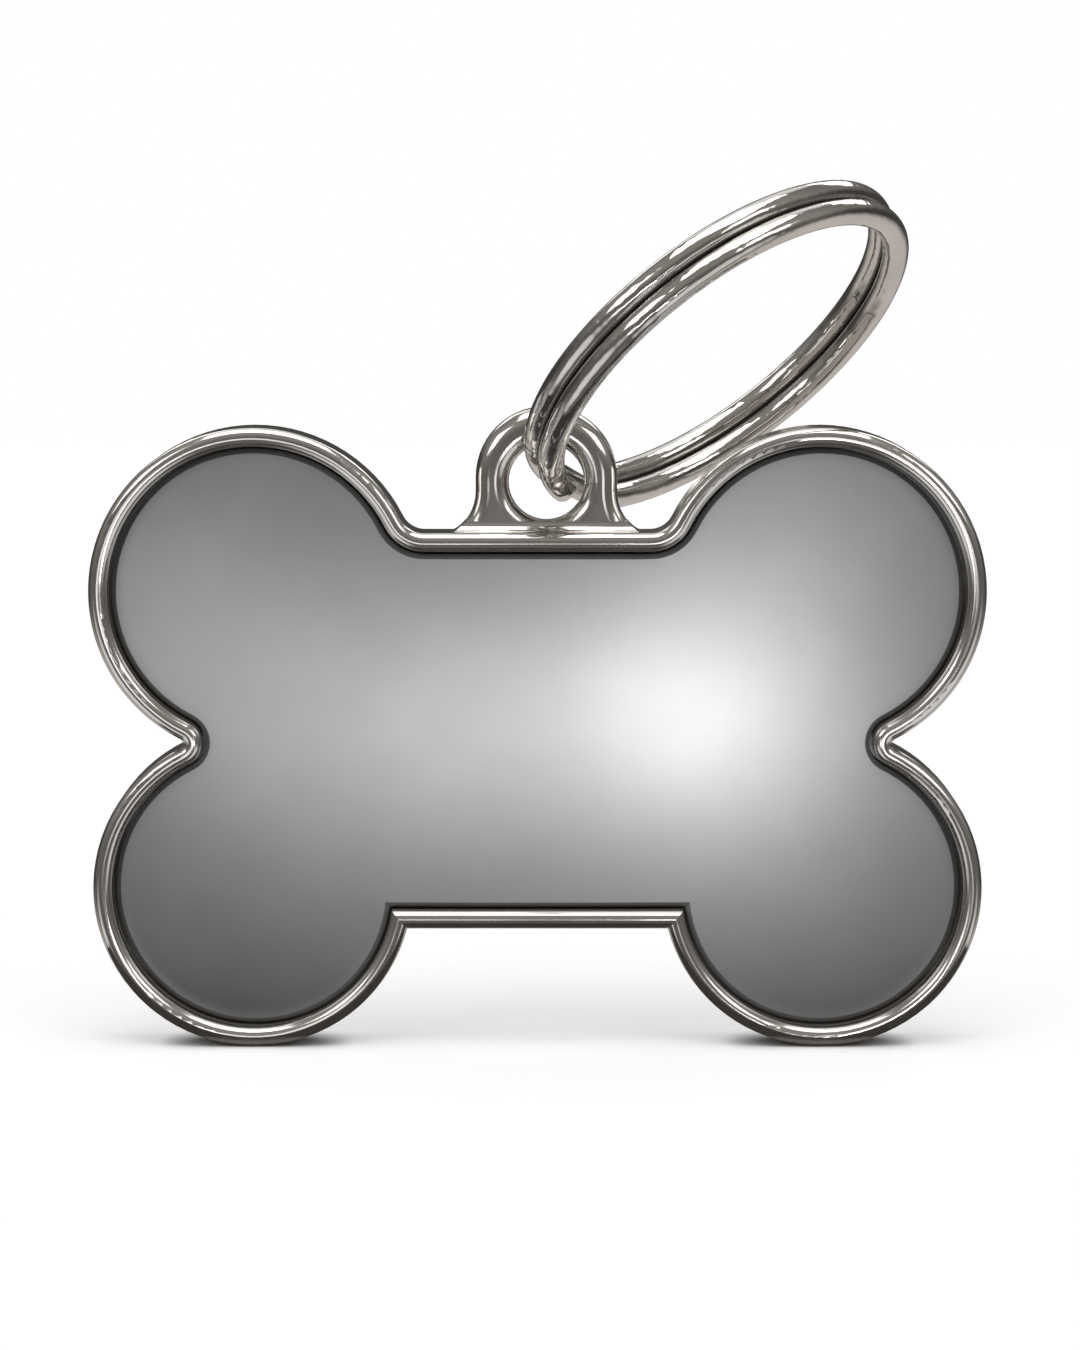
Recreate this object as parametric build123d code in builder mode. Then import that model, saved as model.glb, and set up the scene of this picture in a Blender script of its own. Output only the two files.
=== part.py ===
from build123d import *
from math import atan2, cos, degrees, radians, sin, sqrt
import os

# Pet id tag: a cast bone with a raised rim and a loop, a crowned face plate bonded in it, a split ring.
# Millimetres. +Z is up, the face looks along -Y, and the tag stands on its two lower lobes at Z = 0.

# Bone outline, seen from the front
UPPER_WIDTH = 38.0
LOWER_WIDTH = 37.9
UPPER_LOBE_RADIUS = 7.0
LOWER_LOBE_RADIUS = 6.8
LOBE_RISE = 12.7
WAIST_TOP = 22.05
WAIST_BOTTOM = 5.1
SHOULDER_RADIUS = 1.05
NOTCH_RADIUS = 0.2

# Casting: thickness from front to back, the rim round its face and the floor behind the tray
BODY_THICKNESS = 2.8
FLOOR_THICKNESS = 1.3
RIM_WIDTH = 0.8
RIM_FLAT = 0.06
BACK_BEVEL = 0.4

# Loop on the top edge, a little to the right of the middle
LOOP_OFFSET = 0.38
LOOP_HOLE_RADIUS = 1.6
LOOP_WALL = 1.4
LOOP_CROWN = 0.2
LOOP_WEB = 0.5
LOOP_THICKNESS = 1.4
LOOP_FLAT = 0.1
LOOP_FLARE_RADIUS = 2.0
LOOP_FLARE_SINK = 0.3
LOOP_BLEND_RADIUS = 0.45
LOOP_SEAT = 0.15

# Face plate, and the film that holds it to the tray floor
FACE_CLEARANCE = 0.12
FACE_HEIGHT = 1.1
FACE_CROWN_RADIUS = 300.0
FACE_BEVEL = 0.2
FILM_THICKNESS = 0.1
FILM_MARGIN = 0.8

# Split ring: one wire wound twice, with a jog between its two flat turns
RING_OUTER_DIAMETER = 18.7
WIRE_RADIAL = 1.1
WIRE_AXIAL = 0.82
WIRE_CORNER = 0.26
TURN_GAP = 0.44
JOG_ANGLE = 200.0
JOG_HALF_WIDTH = 13.0
WIRE_END_TRIM = 2.0
TURN_ARCS = 2

# How the ring lies in the loop: lean above the level, turn away from the face, room under the arch
RING_LEAN = 37.7
RING_TILT = 64.5
RING_SEAT_GAP = 0.7

# Points looked at along each turn of the wire when its gap is measured, and reach when edges are picked
TURN_SAMPLES = 360
PICK = 0.01

# Places worked out from the sizes above
lower_lobe = (LOWER_WIDTH / 2 - LOWER_LOBE_RADIUS, LOWER_LOBE_RADIUS)
upper_lobe = (UPPER_WIDTH / 2 - UPPER_LOBE_RADIUS, LOWER_LOBE_RADIUS + LOBE_RISE)
bone_height = upper_lobe[1] + UPPER_LOBE_RADIUS
lobe_step = upper_lobe[0] - lower_lobe[0]
lobe_span = sqrt(lobe_step**2 + LOBE_RISE**2)
notch_below = LOWER_LOBE_RADIUS + NOTCH_RADIUS
notch_above = UPPER_LOBE_RADIUS + NOTCH_RADIUS
notch_along = (notch_below**2 - notch_above**2 + lobe_span**2) / (2 * lobe_span)
notch_out = sqrt(notch_below**2 - notch_along**2)
notch = (
    lower_lobe[0] + (notch_along * lobe_step + notch_out * LOBE_RISE) / lobe_span,
    lower_lobe[1] + (notch_along * LOBE_RISE - notch_out * lobe_step) / lobe_span,
)
shoulder_rise = WAIST_TOP + SHOULDER_RADIUS - upper_lobe[1]
shoulder_run = sqrt((UPPER_LOBE_RADIUS + SHOULDER_RADIUS) ** 2 - shoulder_rise**2)
shoulder = (upper_lobe[0] - shoulder_run, WAIST_TOP + SHOULDER_RADIUS)
half_thickness = BODY_THICKNESS / 2
rim_round = (RIM_WIDTH - RIM_FLAT) / 2
tray_depth = BODY_THICKNESS - FLOOR_THICKNESS
hole_z = WAIST_TOP + LOOP_WEB + LOOP_HOLE_RADIUS
loop_outer_radius = LOOP_HOLE_RADIUS + LOOP_WALL
loop_round = (min(LOOP_THICKNESS, LOOP_WALL) - LOOP_FLAT) / 2
loop_base = WAIST_TOP - LOOP_SEAT
blend_top = WAIST_TOP + LOOP_BLEND_RADIUS
blend_reach = LOOP_THICKNESS / 2 + LOOP_BLEND_RADIUS
film_back = FLOOR_THICKNESS - half_thickness
face_back = film_back + FILM_THICKNESS
face_front = face_back + FACE_HEIGHT


def turned(centre, point):
    """Direction from one point to another, in degrees from the level."""
    return degrees(atan2(point[1] - centre[1], point[0] - centre[0]))


def bone_outline(inset):
    """Bone shape set in from the tag's edge by an even distance, drawn in the sketch that is open."""
    lower_radius = LOWER_LOBE_RADIUS - inset
    top = WAIST_TOP - inset
    bottom = WAIST_BOTTOM + inset
    corner_drop = lower_lobe[1] - bottom
    corner = (lower_lobe[0] - sqrt(lower_radius**2 - corner_drop**2), bottom)
    corner_angle = turned(lower_lobe, corner) + 360
    lower_angle = turned(lower_lobe, notch) + 360
    upper_angle = turned(upper_lobe, notch)
    shoulder_angle = turned(upper_lobe, shoulder)
    with BuildLine() as edge_line:
        Line((0, bottom), corner)
        CenterArc(lower_lobe, lower_radius, corner_angle, lower_angle - corner_angle)
        CenterArc(notch, NOTCH_RADIUS + inset, lower_angle - 180, upper_angle - lower_angle + 360)
        CenterArc(upper_lobe, UPPER_LOBE_RADIUS - inset, upper_angle, shoulder_angle - upper_angle)
        CenterArc(shoulder, SHOULDER_RADIUS + inset, shoulder_angle - 180, 90 - shoulder_angle)
        Line((shoulder[0], top), (0, top))
        mirror(about=Plane.YZ)
    make_face(edge_line.edges())


# Loop: an arch with flared legs, cut off just under the tag's top edge
with BuildPart() as loop:
    with BuildSketch(Plane.XZ.offset(-LOOP_THICKNESS / 2)) as loop_outline:
        flare_foot = WAIST_TOP - LOOP_FLARE_SINK
        foot_width = 2 * (loop_outer_radius + LOOP_FLARE_RADIUS) + LOOP_WALL
        arch_z = hole_z + LOOP_CROWN
        with Locations((LOOP_OFFSET, arch_z)):
            Circle(loop_outer_radius)
        with Locations((LOOP_OFFSET, flare_foot)):
            Rectangle(2 * loop_outer_radius, arch_z - flare_foot, align=(Align.CENTER, Align.MIN))
            Rectangle(foot_width, loop_outer_radius, align=(Align.CENTER, Align.MAX))
        foot_corners = loop_outline.vertices().filter_by_position(Axis.Y, flare_foot - PICK, flare_foot + PICK)
        fillet(foot_corners.sort_by(Axis.X)[1:-1], LOOP_FLARE_RADIUS)
        with Locations((LOOP_OFFSET, hole_z)):
            Circle(LOOP_HOLE_RADIUS, mode=Mode.SUBTRACT)
    extrude(amount=LOOP_THICKNESS)
    by_depth = loop.edges().group_by(Axis.Y)
    fillet(by_depth[0] + by_depth[-1], loop_round)
    split(bisect_by=Plane.XY.offset(loop_base), keep=Keep.TOP)

# Hollow blends from the loop's front and back down to the top edge, within the loop's outline
with BuildPart() as loop_blend:
    with BuildSketch(Plane.YZ):
        with Locations((0, loop_base)):
            Rectangle(2 * blend_reach, blend_top - loop_base, align=(Align.CENTER, Align.MIN))
        with Locations((-blend_reach, blend_top), (blend_reach, blend_top)):
            Circle(LOOP_BLEND_RADIUS, mode=Mode.SUBTRACT)
    extrude(amount=foot_width, both=True)
    extrude(loop_outline.sketch, amount=BODY_THICKNESS, both=True, mode=Mode.INTERSECT)

# Cast bone: plate, tray inside the rim, half-round rim and bevelled back
with BuildPart() as tag_body:
    with BuildSketch(Plane.XZ.offset(-half_thickness)):
        bone_outline(0)
    extrude(amount=BODY_THICKNESS)
    with BuildSketch(Plane.XZ.offset(half_thickness)):
        bone_outline(RIM_WIDTH)
    extrude(amount=-tray_depth, mode=Mode.SUBTRACT)
    fillet(tag_body.edges().group_by(Axis.Y)[0], rim_round)
    chamfer(tag_body.edges().group_by(Axis.Y)[-1], BACK_BEVEL)
    add(loop.part)
    add(loop_blend.part)

# Adhesive film on the tray floor
with BuildPart() as bond_film:
    with BuildSketch(Plane.XZ.offset(film_back)):
        bone_outline(RIM_WIDTH + FILM_MARGIN)
    extrude(amount=FILM_THICKNESS)

# Face plate, flat behind and crowned in front, with a bevel round its front edge
with BuildPart() as face_plate:
    with BuildSketch(Plane.XZ.offset(face_back)):
        bone_outline(RIM_WIDTH + FACE_CLEARANCE)
    extrude(amount=FACE_HEIGHT)
    with Locations((0, FACE_CROWN_RADIUS - face_front, bone_height / 2)):
        Sphere(FACE_CROWN_RADIUS, mode=Mode.INTERSECT)
    crown_face = face_plate.faces().filter_by(GeomType.SPHERE)[0]
    chamfer(crown_face.edges(), FACE_BEVEL)

# Split ring: its plane passes through the loop's hole
ring_mean_radius = (RING_OUTER_DIAMETER - WIRE_RADIAL) / 2
ring_reach = LOOP_HOLE_RADIUS - RING_SEAT_GAP - WIRE_RADIAL / 2 + ring_mean_radius
lean = radians(RING_LEAN)
tilt = radians(RING_TILT)
ring_plane = Plane(
    origin=(LOOP_OFFSET + ring_reach * cos(lean), 0, hole_z + ring_reach * sin(lean)),
    x_dir=(cos(lean), 0, sin(lean)),
    z_dir=(sin(tilt) * sin(lean), -cos(tilt), -sin(tilt) * cos(lean)),
)
turn_lift = (WIRE_AXIAL + TURN_GAP) / 2
turn_sweep = 360 - 2 * JOG_HALF_WIDTH - WIRE_END_TRIM
far_start = JOG_ANGLE + JOG_HALF_WIDTH + WIRE_END_TRIM
near_start = JOG_ANGLE + JOG_HALF_WIDTH


def jog_middle_radius():
    """Radius of the point where the jog's two arcs meet, so that both turns are left smoothly."""
    half = radians(JOG_HALF_WIDTH)
    a = 4 * sin(half) ** 2
    b = 8 * ring_mean_radius * sin(half) * cos(half)
    c = 4 * (ring_mean_radius * sin(half)) ** 2 + (2 * turn_lift) ** 2
    handle = (sqrt(b * b + 4 * a * c) - b) / (2 * a)
    return ring_mean_radius * cos(half) + handle * sin(half)


def flat_turn(lift, start):
    """One turn of the wire at its height in the ring, in equal arcs."""
    step = turn_sweep / TURN_ARCS
    for count in range(TURN_ARCS):
        arc = CenterArc((0, 0, lift), ring_mean_radius, start + count * step, step)
    return arc


with BuildPart() as split_ring:
    with BuildLine(ring_plane) as wire_line:
        far_turn = flat_turn(-turn_lift, far_start)
        jog = radians(JOG_ANGLE)
        middle = (jog_middle_radius() * cos(jog), jog_middle_radius() * sin(jog), 0)
        near = radians(near_start)
        landing = (ring_mean_radius * cos(near), ring_mean_radius * sin(near), turn_lift)
        jog_up = TangentArc(far_turn @ 1, middle, tangent=far_turn % 1)
        TangentArc(jog_up @ 1, landing, tangent=jog_up % 1)
        flat_turn(turn_lift, near_start)
    wire_path = wire_line.wires()[0]
    # The jog rolls the wire by its rise over the ring's radius: half of that is set against it at the start
    wire_roll = degrees(turn_lift / ring_mean_radius)
    with BuildSketch(Plane(origin=wire_path @ 0, x_dir=ring_plane.z_dir, z_dir=wire_path % 0)) as wire_section:
        Rectangle(WIRE_AXIAL, WIRE_RADIAL, rotation=wire_roll)
        chamfer(wire_section.vertices(), WIRE_CORNER)
    sweep(path=wire_path)


def least_turn_gap():
    """Least room between the wire and its own next turn, from points along its middle line."""
    steps = 2 * TURN_SAMPLES
    points = [wire_path @ (count / steps) for count in range(steps + 1)]
    half_turn = TURN_SAMPLES // 2
    pairs = ((p, q) for i, p in enumerate(points) for q in points[i + half_turn :])
    return min((p - q).length for p, q in pairs) - WIRE_AXIAL


print("least gap between the wire's turns, mm:", round(least_turn_gap(), 3))

os.makedirs("parts", exist_ok=True)
tag_body.part.label = "tag_body"
export_step(tag_body.part, "parts/tag_body.step")
bond_film.part.label = "bond_film"
export_step(bond_film.part, "parts/bond_film.step")
face_plate.part.label = "face_plate"
export_step(face_plate.part, "parts/face_plate.step")
split_ring.part.label = "split_ring"
export_step(split_ring.part, "parts/split_ring.step")
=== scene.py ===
from math import cos, pi, radians, sin

import bmesh
import bpy
from mathutils import Matrix, Vector


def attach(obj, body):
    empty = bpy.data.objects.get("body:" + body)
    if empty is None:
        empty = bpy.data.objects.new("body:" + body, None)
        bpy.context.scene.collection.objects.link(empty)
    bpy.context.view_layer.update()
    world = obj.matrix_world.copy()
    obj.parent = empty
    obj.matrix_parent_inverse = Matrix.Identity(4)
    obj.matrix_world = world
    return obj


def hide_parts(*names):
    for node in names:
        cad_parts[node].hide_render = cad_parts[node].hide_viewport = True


# Pet id tag: the cast bone and its face keep their CAD solids, and the split ring is wound again here
# with its turns closed up. Metres, in the CAD frame: +Z up, the face looks along -Y.

MM = 0.001

# Split ring, as in the part's source, with fuller wire that nearly closes the gap between its turns
RING_CENTRE = Vector((7.6197, 0, 29.7455)) * MM
RING_LEAN = radians(37.7)
RING_TILT = radians(64.5)
RING_MEAN_RADIUS = 8.8 * MM
WIRE_RADIAL = 1.1 * MM
WIRE_AXIAL = 1.0 * MM
WIRE_SQUARENESS = 2.3
TURN_LIFT = 0.53 * MM
JOG_ANGLE = radians(200)
JOG_HALF_WIDTH = radians(13)
WIRE_END_TRIM = radians(2)
WIRE_END_ROUND = 0.16 * MM
WIRE_STEPS = 420
WIRE_SIDES = 32
END_STEPS = 4

# Metals: the two shades that the colour drifts between, and the range of the roughness
NICKEL_SHADES = ((0.61, 0.585, 0.555), (0.68, 0.66, 0.635))
NICKEL_ROUGHNESS = (0.1, 0.14)
WIRE_SHADES = ((0.58, 0.555, 0.525), (0.69, 0.665, 0.635))
WIRE_ROUGHNESS = (0.06, 0.1)
SATIN_SHADES = ((0.49, 0.498, 0.51), (0.52, 0.528, 0.54))
SATIN_ROUGHNESS = (0.278, 0.284)
# Painted shade: the dull, dark colour that crevices, gaps between parts and the floor contact turn to
CAST_PAINTED_SHADE = (0.11, 0.095, 0.08)
SATIN_PAINTED_SHADE = (0.15, 0.147, 0.142)
WIRE_PAINTED_SHADE = (0.05, 0.044, 0.038)
FILM_SHADES = ((0.76, 0.74, 0.68), (0.84, 0.82, 0.77))
FILM_ROUGHNESS = 0.5

# Slow drift of shade and polish over a surface: how many waves in a millimetre, and the noise's usual range
SHADE_DRIFT = 0.35
POLISH_DRIFT = 0.25
FILM_CLOUDS = 0.8
NOISE_RANGE = (0.3, 0.7)

# Waves in the metal that bend its reflections: how many in a millimetre, and how high
CAST_WAVES = 0.8
CAST_WAVE_HEIGHT = 0.004 * MM
WIRE_WAVES = 1.2
WIRE_WAVE_HEIGHT = 0.045 * MM
SATIN_WAVES = 0.3
SATIN_WAVE_HEIGHT = 0.0005 * MM

# Brushed back of the casting: lines in a millimetre along X, Y and Z, and their depth in waves' heights
BRUSH_LINES = (0.15, 1.0, 7.0)
BRUSHED_ROUGHNESS = (0.27, 0.43)
BRUSH_DEPTH = 3.0
BACK_FACING = (0.9, 0.99)

# How near another surface has to be to make a crevice, and the openness at which the painted crevice shade
# is full or gone
NICKEL_CREVICE = 0.5 * MM
WIRE_CREVICE = 0.25 * MM
SATIN_CREVICE = 0.8 * MM
CREVICE_RANGE = (0.25, 0.95)
CREVICE_SAMPLES = 12

# Camera, from the photograph
CAMERA_PLACE = Vector((0.107, -168.73, 36.6)) * MM
CAMERA_AIM = Vector((0.107, 0, 15.882)) * MM
CAMERA_LENS = 106.3
CAMERA_NEAR = 10 * MM

# Stage: the floor, its strip under the tag, its shadow and painted contact shadow, and a sheet of painted
# shade by the tag's feet that only reflections see
FLOOR_HALF_WIDTH = 400 * MM
STRIP_HALF_WIDTH = 26 * MM
STRIP_HALF_DEPTH = 1.6 * MM
FLOOR_DROP = 0.002 * MM
FLOOR_SHADE = 0.8
FLOOR_GLOW = 0.44
SHADOW_NEAR = 6 * MM
SHADOW_FAR = 32 * MM
SHADOW_STRETCH = 2.5
CONTACT_REACH = 1.2 * MM
FLOOR_GLOSS = 0.08
FLOOR_ROUGHNESS = 0.25
# Sheet of painted shade by the tag's feet, seen only in reflections: half width, half depth, how far
# forward, and its dark glow
SHADE_SHEET_HALF_WIDTH = 26 * MM
SHADE_SHEET_HALF_DEPTH = 6 * MM
SHADE_SHEET_FORWARD = 4 * MM
SHADE_SHEET_LEVEL = 0.05

# Room that the metal reflects: shades by height, from straight down to straight up
FRONT_SHADES = (
    (0.13, 0.15), (0.26, 0.15), (0.35, 0.11), (0.42, 0.14), (0.5, 0.15), (0.58, 0.2), (0.68, 0.3),
)
BACK_SHADES = ((0.13, 0.65), (0.28, 0.6), (0.36, 0.3), (0.43, 0.07), (0.57, 0.06), (0.72, 0.22))
FRONT_END = -0.15
BACK_START = 0.25
ROOM_WARMTH = 0.05
LOW_CARD_TURN = radians(50)
LOW_CARD_DROP = radians(-35)
LOW_CARD_SHADE = 0.9
CARD_INNER = radians(15)
CARD_OUTER = radians(29)
BACKDROP_RISE = radians(62)
BACKDROP_INNER = radians(18)
BACKDROP_OUTER = radians(26)
LAMP_AIM = (0, 0, 15)

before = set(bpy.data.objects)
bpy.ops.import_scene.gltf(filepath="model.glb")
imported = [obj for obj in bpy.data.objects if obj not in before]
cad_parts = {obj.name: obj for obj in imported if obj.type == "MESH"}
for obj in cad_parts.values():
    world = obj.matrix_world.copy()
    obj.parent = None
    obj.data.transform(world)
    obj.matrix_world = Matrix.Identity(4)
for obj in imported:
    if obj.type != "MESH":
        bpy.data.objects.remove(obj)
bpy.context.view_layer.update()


# Node helpers

def new_material(name):
    """Empty node material, and its tree."""
    material = bpy.data.materials.new(name)
    material.use_nodes = True
    material.node_tree.nodes.clear()
    return material, material.node_tree


def add_node(tree, kind, **inputs):
    """One node, with its sockets set by name; underscores stand for spaces."""
    node = tree.nodes.new(kind)
    for name, value in inputs.items():
        node.inputs[name.replace("_", " ")].default_value = value
    return node


def math_node(tree, operation, first, second):
    """Two values joined by a sum, product or the like; each is a socket or a number."""
    node = tree.nodes.new("ShaderNodeMath")
    node.operation = operation
    for socket, value in zip(node.inputs, (first, second)):
        if isinstance(value, (int, float)):
            socket.default_value = value
        else:
            tree.links.new(value, socket)
    return node.outputs["Value"]


def mix_colour(tree, factor, first, second):
    """One colour faded into another."""
    node = tree.nodes.new("ShaderNodeMix")
    node.data_type = "RGBA"
    tree.links.new(factor, node.inputs["Factor"])
    for name, value in (("A", first), ("B", second)):
        socket = next(s for s in node.inputs if s.name == name and s.type == "RGBA")
        if isinstance(value, tuple):
            socket.default_value = (*value, 1)
        else:
            tree.links.new(value, socket)
    return next(s for s in node.outputs if s.type == "RGBA")


def noise(tree, scale, detail=3.0):
    """Noise in millimetres of the object."""
    place = tree.nodes.new("ShaderNodeTexCoord")
    texture = add_node(tree, "ShaderNodeTexNoise", Scale=scale / MM, Detail=detail)
    tree.links.new(place.outputs["Object"], texture.inputs["Vector"])
    return texture.outputs["Fac"]


def spread(tree, value, low, high):
    """A noise value set to run between two limits."""
    least, most = NOISE_RANGE
    mapped = add_node(tree, "ShaderNodeMapRange", From_Min=least, From_Max=most, To_Min=low, To_Max=high)
    tree.links.new(value, mapped.inputs["Value"])
    return mapped.outputs["Result"]


def openness(tree, reach):
    """0 deep in a crevice and 1 in the open, by how much lies within reach."""
    near = add_node(tree, "ShaderNodeAmbientOcclusion", Distance=reach)
    near.samples = CREVICE_SAMPLES
    closed, clear = CREVICE_RANGE
    mapped = add_node(tree, "ShaderNodeMapRange", From_Min=closed, From_Max=clear)
    tree.links.new(near.outputs["AO"], mapped.inputs["Value"])
    return mapped.outputs["Result"]


def back_facing(tree):
    """1 on the flat back, from the object's own normals."""
    normal = tree.nodes.new("ShaderNodeTexCoord").outputs["Normal"]
    split = tree.nodes.new("ShaderNodeSeparateXYZ")
    tree.links.new(normal, split.inputs["Vector"])
    start, end = BACK_FACING
    mapped = add_node(tree, "ShaderNodeMapRange", From_Min=start, From_Max=end)
    tree.links.new(split.outputs["Y"], mapped.inputs["Value"])
    return mapped.outputs["Result"]


def brush_lines(tree):
    """Fine noise drawn out along X."""
    place = tree.nodes.new("ShaderNodeTexCoord")
    stretch = add_node(tree, "ShaderNodeMapping", Scale=tuple(lines / MM for lines in BRUSH_LINES))
    texture = add_node(tree, "ShaderNodeTexNoise", Scale=1.0, Detail=2.0)
    tree.links.new(place.outputs["Object"], stretch.inputs["Vector"])
    tree.links.new(stretch.outputs["Vector"], texture.inputs["Vector"])
    return texture.outputs["Fac"]


def metal(name, shades, roughness, waves, wave_height, crevice, painted_shade, brushed=False):
    """Plated metal: shade and polish drift, slow waves bend its reflections, and crevices and the floor
    contact get painted shade, dull and dark.
    """
    material, tree = new_material(name)
    shader = tree.nodes.new("ShaderNodeBsdfPrincipled")
    output = tree.nodes.new("ShaderNodeOutputMaterial")
    tree.links.new(shader.outputs["BSDF"], output.inputs["Surface"])
    clean = mix_colour(tree, spread(tree, noise(tree, SHADE_DRIFT), 0.0, 1.0), *shades)
    # Painted shade: by ambient occlusion, crevices, gaps between parts and the floor contact turn dark and
    # lose their metal
    unshaded = openness(tree, crevice)
    tree.links.new(unshaded, shader.inputs["Metallic"])
    tree.links.new(mix_colour(tree, unshaded, painted_shade, clean), shader.inputs["Base Color"])
    polish = spread(tree, noise(tree, POLISH_DRIFT, detail=1.0), *roughness)
    height = noise(tree, waves, detail=1.0)
    if brushed:
        back = back_facing(tree)
        lines = brush_lines(tree)
        rough = math_node(tree, "MULTIPLY", back, spread(tree, lines, *BRUSHED_ROUGHNESS))
        polish = math_node(tree, "MAXIMUM", polish, rough)
        grooves = math_node(tree, "MULTIPLY", back, math_node(tree, "MULTIPLY", lines, BRUSH_DEPTH))
        height = math_node(tree, "ADD", height, grooves)
    tree.links.new(polish, shader.inputs["Roughness"])
    bump = add_node(tree, "ShaderNodeBump", Strength=1.0, Distance=wave_height)
    tree.links.new(height, bump.inputs["Height"])
    tree.links.new(bump.outputs["Normal"], shader.inputs["Normal"])
    return material


def adhesive_material():
    """Clear transfer film, slightly milky."""
    material, tree = new_material("adhesive_film")
    shader = add_node(tree, "ShaderNodeBsdfPrincipled", Roughness=FILM_ROUGHNESS)
    output = tree.nodes.new("ShaderNodeOutputMaterial")
    tree.links.new(shader.outputs["BSDF"], output.inputs["Surface"])
    cloud = spread(tree, noise(tree, FILM_CLOUDS), 0.0, 1.0)
    tree.links.new(mix_colour(tree, cloud, *FILM_SHADES), shader.inputs["Base Color"])
    return material


def dress(node, material):
    """Gives a CAD node its material."""
    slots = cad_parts[node].data.materials
    slots.clear()
    slots.append(material)


# Split ring

def ring_frame():
    """Places the ring's own plane in the part's frame."""
    along = Vector((cos(RING_LEAN), 0, sin(RING_LEAN)))
    normal = Vector((sin(RING_TILT) * sin(RING_LEAN), -cos(RING_TILT), -sin(RING_TILT) * cos(RING_LEAN)))
    across = normal.cross(along)
    turn = Matrix((along, across, normal)).transposed().to_4x4()
    return Matrix.Translation(RING_CENTRE) @ turn


def wire_point(angle):
    """Middle of the wire at an angle along both turns, from the far turn's end to the near turn's."""
    jog = JOG_ANGLE + 2 * pi
    share = min(max((angle - jog) / JOG_HALF_WIDTH, -1), 1)
    lift = TURN_LIFT * sin(share * pi / 2)
    return Vector((RING_MEAN_RADIUS * cos(angle), RING_MEAN_RADIUS * sin(angle), lift))


def wire_section(angle, scale):
    """Points round the wire: a flattened round, drawn in to close its ends."""
    middle = wire_point(angle)
    out = Vector((cos(angle), sin(angle), 0))
    up = Vector((0, 0, 1))
    points = []
    for side in range(WIRE_SIDES):
        turn = 2 * pi * side / WIRE_SIDES
        c, s = cos(turn), sin(turn)
        size = scale * (abs(c) ** WIRE_SQUARENESS + abs(s) ** WIRE_SQUARENESS) ** (-1 / WIRE_SQUARENESS)
        points.append(middle + out * (c * size * WIRE_RADIAL / 2) + up * (s * size * WIRE_AXIAL / 2))
    return points


def wire_stations():
    """Angles along the wire, and how full its section is there: drawn in just at the two cut ends."""
    start = JOG_ANGLE + JOG_HALF_WIDTH + WIRE_END_TRIM
    end = JOG_ANGLE + 4 * pi - JOG_HALF_WIDTH - WIRE_END_TRIM
    inset = WIRE_END_ROUND / RING_MEAN_RADIUS
    shrink = 2 * WIRE_END_ROUND / WIRE_AXIAL
    first_end = []
    for step in range(END_STEPS):
        turn = pi / 2 * step / END_STEPS
        first_end.append((start + inset * (1 - cos(turn)), 1 - shrink * (1 - sin(turn))))
    length = end - start - 2 * inset
    full = [(start + inset + length * step / WIRE_STEPS, 1.0) for step in range(WIRE_STEPS + 1)]
    last_end = [(start + end - angle, scale) for angle, scale in reversed(first_end)]
    return first_end + full + last_end


def make_ring(material):
    """One wire wound twice, with its jog behind the loop and its two cut ends."""
    mesh = bmesh.new()
    rings = []
    for angle, scale in wire_stations():
        rings.append([mesh.verts.new(point) for point in wire_section(angle, scale)])
    for before, after in zip(rings, rings[1:]):
        for side in range(WIRE_SIDES):
            following = (side + 1) % WIRE_SIDES
            mesh.faces.new((before[side], before[following], after[following], after[side]))
    mesh.faces.new(reversed(rings[0]))
    mesh.faces.new(rings[-1])
    bmesh.ops.recalc_face_normals(mesh, faces=mesh.faces)
    mesh.transform(ring_frame())
    data = bpy.data.meshes.new("split_ring_wire")
    mesh.to_mesh(data)
    mesh.free()
    data.polygons.foreach_set("use_smooth", [len(face.vertices) == 4 for face in data.polygons])
    data.materials.append(material)
    ring = bpy.data.objects.new("split_ring_wire", data)
    bpy.context.scene.collection.objects.link(ring)
    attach(ring, "ring")
    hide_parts("split_ring")


# Stage, light and camera

def seen(tree, backdrop=None):
    """1 for camera rays, and for reflected and refracted ones, which may be kept to the backdrop."""
    path = tree.nodes.new("ShaderNodeLightPath")
    bent = math_node(tree, "MAXIMUM", path.outputs["Is Glossy Ray"], path.outputs["Is Transmission Ray"])
    if backdrop:
        bent = math_node(tree, "MULTIPLY", bent, backdrop)
    return math_node(tree, "MAXIMUM", path.outputs["Is Camera Ray"], bent)


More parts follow.
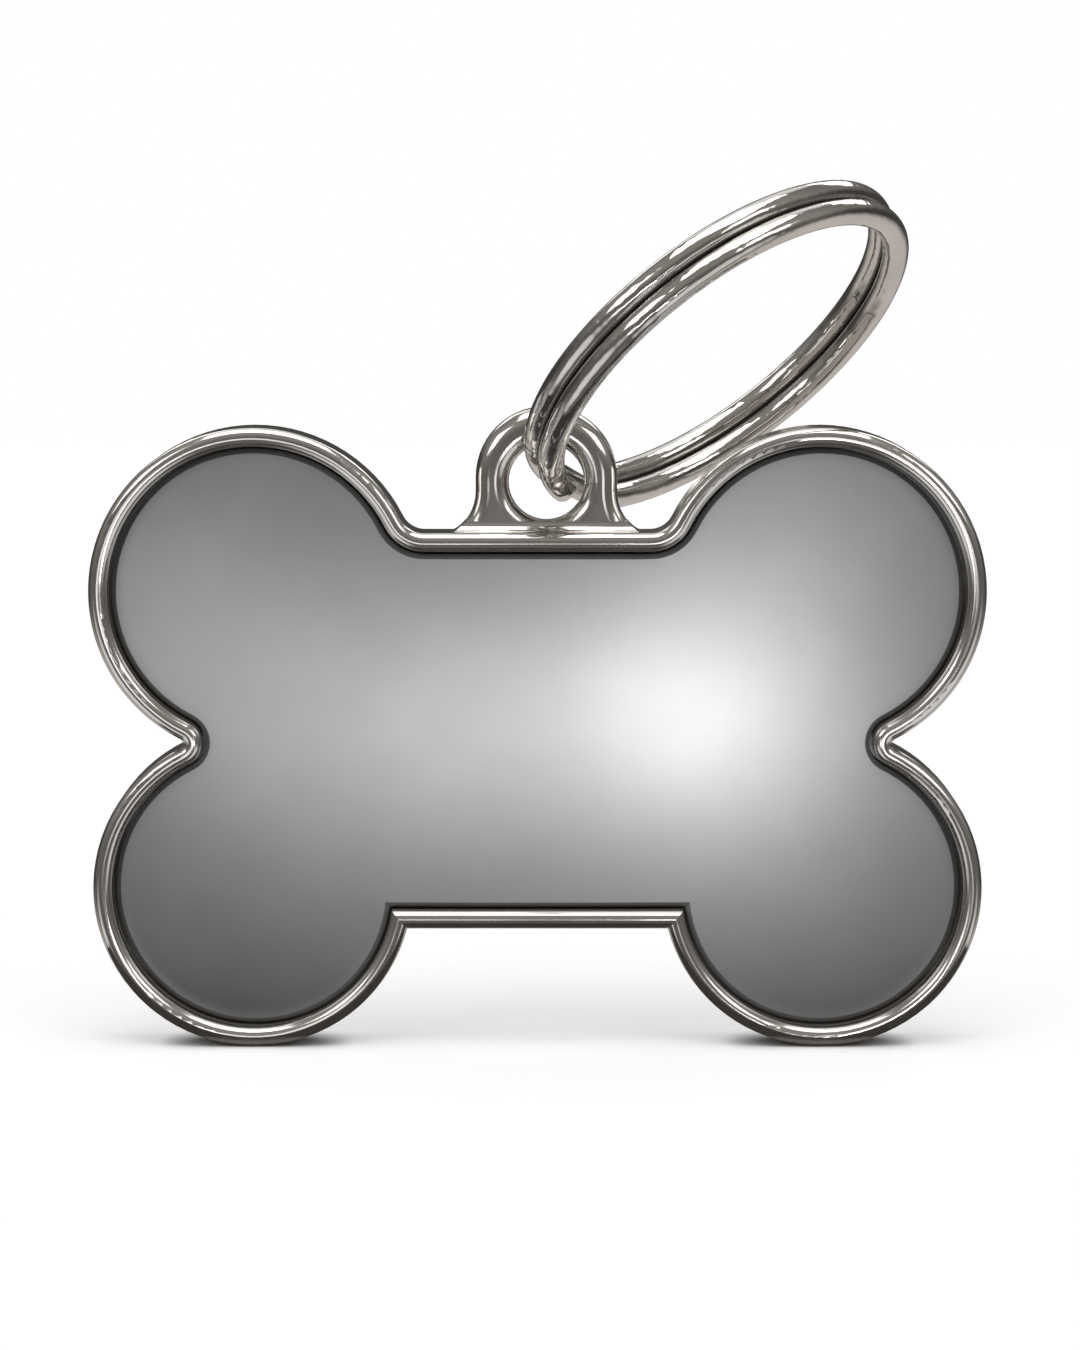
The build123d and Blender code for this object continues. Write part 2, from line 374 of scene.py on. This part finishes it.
def floor_material():
    """Pale sheet that reads as white, keeps the tag's shadow, has a painted contact shadow in its glow, and
    faintly mirrors the tag.
    """
    material, tree = new_material("studio_floor")
    place = tree.nodes.new("ShaderNodeTexCoord")
    squeeze = add_node(tree, "ShaderNodeMapping", Scale=(1 / SHADOW_STRETCH, 1, 1))
    tree.links.new(place.outputs["Object"], squeeze.inputs["Vector"])
    distance = tree.nodes.new("ShaderNodeVectorMath")
    distance.operation = "LENGTH"
    tree.links.new(squeeze.outputs["Vector"], distance.inputs[0])
    away = add_node(tree, "ShaderNodeMapRange", From_Min=SHADOW_NEAR, From_Max=SHADOW_FAR)
    tree.links.new(distance.outputs["Value"], away.inputs["Value"])
    far = away.outputs["Result"]
    diffuse = tree.nodes.new("ShaderNodeBsdfDiffuse")
    tree.links.new(mix_colour(tree, far, (FLOOR_SHADE,) * 3, (0.0,) * 3), diffuse.inputs["Color"])
    level = add_node(tree, "ShaderNodeMapRange", To_Min=FLOOR_GLOW, To_Max=1 / (1 - FLOOR_GLOSS))
    tree.links.new(far, level.inputs["Value"])
    # Painted contact shadow: the glow dims near the tag by ambient occlusion
    contact_shaded_level = math_node(tree, "MULTIPLY", openness(tree, CONTACT_REACH), level.outputs["Result"])
    glow = tree.nodes.new("ShaderNodeEmission")
    tree.links.new(math_node(tree, "MULTIPLY", seen(tree), contact_shaded_level), glow.inputs["Strength"])
    sheet = tree.nodes.new("ShaderNodeAddShader")
    tree.links.new(diffuse.outputs["BSDF"], sheet.inputs[0])
    tree.links.new(glow.outputs["Emission"], sheet.inputs[1])
    gloss = add_node(tree, "ShaderNodeBsdfGlossy", Color=(1, 1, 1, 1), Roughness=FLOOR_ROUGHNESS)
    both = add_node(tree, "ShaderNodeMixShader", Fac=FLOOR_GLOSS)
    tree.links.new(sheet.outputs["Shader"], both.inputs[1])
    tree.links.new(gloss.outputs["BSDF"], both.inputs[2])
    output = tree.nodes.new("ShaderNodeOutputMaterial")
    tree.links.new(both.outputs["Shader"], output.inputs["Surface"])
    return material


def floor_sheet(name, half_width, half_depth, drop, material):
    """Level rectangle about the frame's origin."""
    mesh = bpy.data.meshes.new(name)
    corners = [
        (-half_width, -half_depth),
        (half_width, -half_depth),
        (half_width, half_depth),
        (-half_width, half_depth),
    ]
    mesh.from_pydata([(x, y, -drop) for x, y in corners], [], [(0, 1, 2, 3)])
    mesh.materials.append(material)
    sheet = bpy.data.objects.new(name, mesh)
    bpy.context.scene.collection.objects.link(sheet)
    return sheet


def make_floor():
    """Sheet that the tag stands on, and the floor around it. The metal sees the room in their place."""
    material = floor_material()
    strip = floor_sheet("floor_under_tag", STRIP_HALF_WIDTH, STRIP_HALF_DEPTH, 0, material)
    strip.visible_glossy = False
    around = floor_sheet("studio_floor", FLOOR_HALF_WIDTH, FLOOR_HALF_WIDTH, FLOOR_DROP, material)
    around.visible_glossy = False
    around.visible_shadow = False


def warm_grey(level):
    """A grey with a little less blue."""
    return (level * (1 + ROOM_WARMTH), level, level * (1 - ROOM_WARMTH))


def make_painted_shade_sheet():
    """Sheet of painted shade that only reflections see: the floor by the tag's feet shows dark in the
    metal, in place of its shadow.
    """
    material, tree = new_material("painted_shade_sheet")
    shade_glow = add_node(tree, "ShaderNodeEmission", Color=(*warm_grey(SHADE_SHEET_LEVEL), 1))
    output = tree.nodes.new("ShaderNodeOutputMaterial")
    tree.links.new(shade_glow.outputs["Emission"], output.inputs["Surface"])
    shade_sheet = floor_sheet("painted_shade_sheet", SHADE_SHEET_HALF_WIDTH, SHADE_SHEET_HALF_DEPTH, 0, material)
    shade_sheet.location.y = -SHADE_SHEET_FORWARD
    shade_sheet.visible_camera = False
    shade_sheet.visible_diffuse = False
    shade_sheet.visible_transmission = False
    shade_sheet.visible_shadow = False


def patch(tree, place, direction, inner, outer):
    """1 within an angle of a direction, falling to 0 at a wider one."""
    dot = tree.nodes.new("ShaderNodeVectorMath")
    dot.operation = "DOT_PRODUCT"
    dot.inputs[1].default_value = direction
    tree.links.new(place, dot.inputs[0])
    fade = add_node(tree, "ShaderNodeMapRange", From_Min=cos(outer), From_Max=cos(inner))
    tree.links.new(dot.outputs["Value"], fade.inputs["Value"])
    return fade.outputs["Result"]


def shade_ramp(tree, height, shades):
    """Warm greys by height."""
    ramp = tree.nodes.new("ShaderNodeValToRGB")
    elements = ramp.color_ramp.elements
    while len(elements) < len(shades):
        elements.new(1.0)
    for element, (level, shade) in zip(elements, shades):
        element.position = level
        element.color = (*warm_grey(shade), 1)
    tree.links.new(height, ramp.inputs["Fac"])
    return ramp.outputs["Color"]


def room_shade(tree, place):
    """Dim warm room over a pale floor, darker behind the tag, with two low cards in front."""
    split = tree.nodes.new("ShaderNodeSeparateXYZ")
    tree.links.new(place, split.inputs["Vector"])
    rise = add_node(tree, "ShaderNodeMapRange", From_Min=-1.0, From_Max=1.0)
    tree.links.new(split.outputs["Z"], rise.inputs["Value"])
    height = rise.outputs["Result"]
    behind = add_node(tree, "ShaderNodeMapRange", From_Min=FRONT_END, From_Max=BACK_START)
    tree.links.new(split.outputs["Y"], behind.inputs["Value"])
    front = shade_ramp(tree, height, FRONT_SHADES)
    back = shade_ramp(tree, height, BACK_SHADES)
    colour = mix_colour(tree, behind.outputs["Result"], front, back)
    for side in (-1, 1):
        turn = side * LOW_CARD_TURN
        drop = LOW_CARD_DROP
        direction = (sin(turn) * cos(drop), -cos(turn) * cos(drop), sin(drop))
        card = patch(tree, place, direction, CARD_INNER, CARD_OUTER)
        colour = mix_colour(tree, card, colour, (LOW_CARD_SHADE,) * 3)
    return colour


def make_world():
    """White backdrop for the camera and behind the tag in its metal, and the room for all else."""
    world = bpy.data.worlds.new("studio")
    bpy.context.scene.world = world
    world.use_nodes = True
    tree = world.node_tree
    tree.nodes.clear()
    place = tree.nodes.new("ShaderNodeTexCoord").outputs["Generated"]
    room = tree.nodes.new("ShaderNodeBackground")
    tree.links.new(room_shade(tree, place), room.inputs["Color"])
    white = add_node(tree, "ShaderNodeBackground", Color=(1, 1, 1, 1))
    direction = (0, cos(BACKDROP_RISE), sin(BACKDROP_RISE))
    backdrop = patch(tree, place, direction, BACKDROP_INNER, BACKDROP_OUTER)
    mix = tree.nodes.new("ShaderNodeMixShader")
    tree.links.new(seen(tree, backdrop), mix.inputs["Fac"])
    tree.links.new(room.outputs["Background"], mix.inputs[1])
    tree.links.new(white.outputs["Background"], mix.inputs[2])
    output = tree.nodes.new("ShaderNodeOutputWorld")
    tree.links.new(mix.outputs["Shader"], output.inputs["Surface"])


def softbox(name, place, aim, size, radiance):
    """Area light of an even brightness, turned to face a point; lengths in millimetres."""
    width, height = size
    data = bpy.data.lights.new(name, "AREA")
    data.shape = "RECTANGLE"
    data.size = width * MM
    data.size_y = height * MM
    data.energy = radiance * pi * data.size * data.size_y
    light = bpy.data.objects.new(name, data)
    light.location = Vector(place) * MM
    light.rotation_euler = (Vector(aim) - Vector(place)).to_track_quat("-Z", "Y").to_euler()
    light.visible_camera = False
    bpy.context.scene.collection.objects.link(light)


def make_lights():
    """Softboxes in front, overhead and behind, and smaller ones whose blurred images lie on the face."""
    softbox("front_left", (-160, -150, 130), LAMP_AIM, size=(120, 90), radiance=2.0)
    softbox("front_right", (160, -150, 130), LAMP_AIM, size=(120, 90), radiance=2.0)
    softbox("overhead", (0, -55, 230), LAMP_AIM, size=(200, 170), radiance=2.6)
    softbox("back_left", (-112, 155, 185), LAMP_AIM, size=(110, 90), radiance=1.5)
    softbox("back_right", (112, 155, 185), LAMP_AIM, size=(110, 90), radiance=2.0)
    softbox("face_strip", (-16, -80, 3), (-10, 0, 13), size=(28, 14), radiance=1.1)
    softbox("face_core", (1, -80, 4), (0, 0, 13.5), size=(30, 5), radiance=2.5)
    softbox("face_key", (14.2, -82, 4), (7, 0, 13.5), size=(15.5, 7), radiance=7.7)
    softbox("face_left", (-31, -80, 12.5), (-15, 0, 19), size=(16, 12), radiance=1.0)
    softbox("face_right", (22, -80, 17.5), (11, 0, 20), size=(14, 10), radiance=1.3)
    softbox("face_low", (24, -80, -6), (12, 0, 7), size=(14, 10), radiance=0.5)


def make_camera():
    """Camera at the photograph's height and distance."""
    data = bpy.data.cameras.new("camera")
    data.lens = CAMERA_LENS
    data.clip_start = CAMERA_NEAR
    camera = bpy.data.objects.new("camera", data)
    camera.location = CAMERA_PLACE
    camera.rotation_euler = (CAMERA_AIM - CAMERA_PLACE).to_track_quat("-Z", "Y").to_euler()
    bpy.context.scene.collection.objects.link(camera)
    bpy.context.scene.camera = camera


nickel = metal(
    "polished_nickel", NICKEL_SHADES, NICKEL_ROUGHNESS, CAST_WAVES, CAST_WAVE_HEIGHT,
    NICKEL_CREVICE, CAST_PAINTED_SHADE, brushed=True,
)
satin = metal(
    "satin_plate", SATIN_SHADES, SATIN_ROUGHNESS, SATIN_WAVES, SATIN_WAVE_HEIGHT,
    SATIN_CREVICE, SATIN_PAINTED_SHADE,
)
wire = metal(
    "ring_wire", WIRE_SHADES, WIRE_ROUGHNESS, WIRE_WAVES, WIRE_WAVE_HEIGHT,
    WIRE_CREVICE, WIRE_PAINTED_SHADE,
)
dress("tag_body", nickel)
dress("face_plate", satin)
dress("bond_film", adhesive_material())
make_ring(wire)
make_floor()
# Painted shade that the metal reflects by the tag's feet
make_painted_shade_sheet()
make_world()
make_lights()
make_camera()
bpy.context.scene.view_settings.view_transform = "Standard"
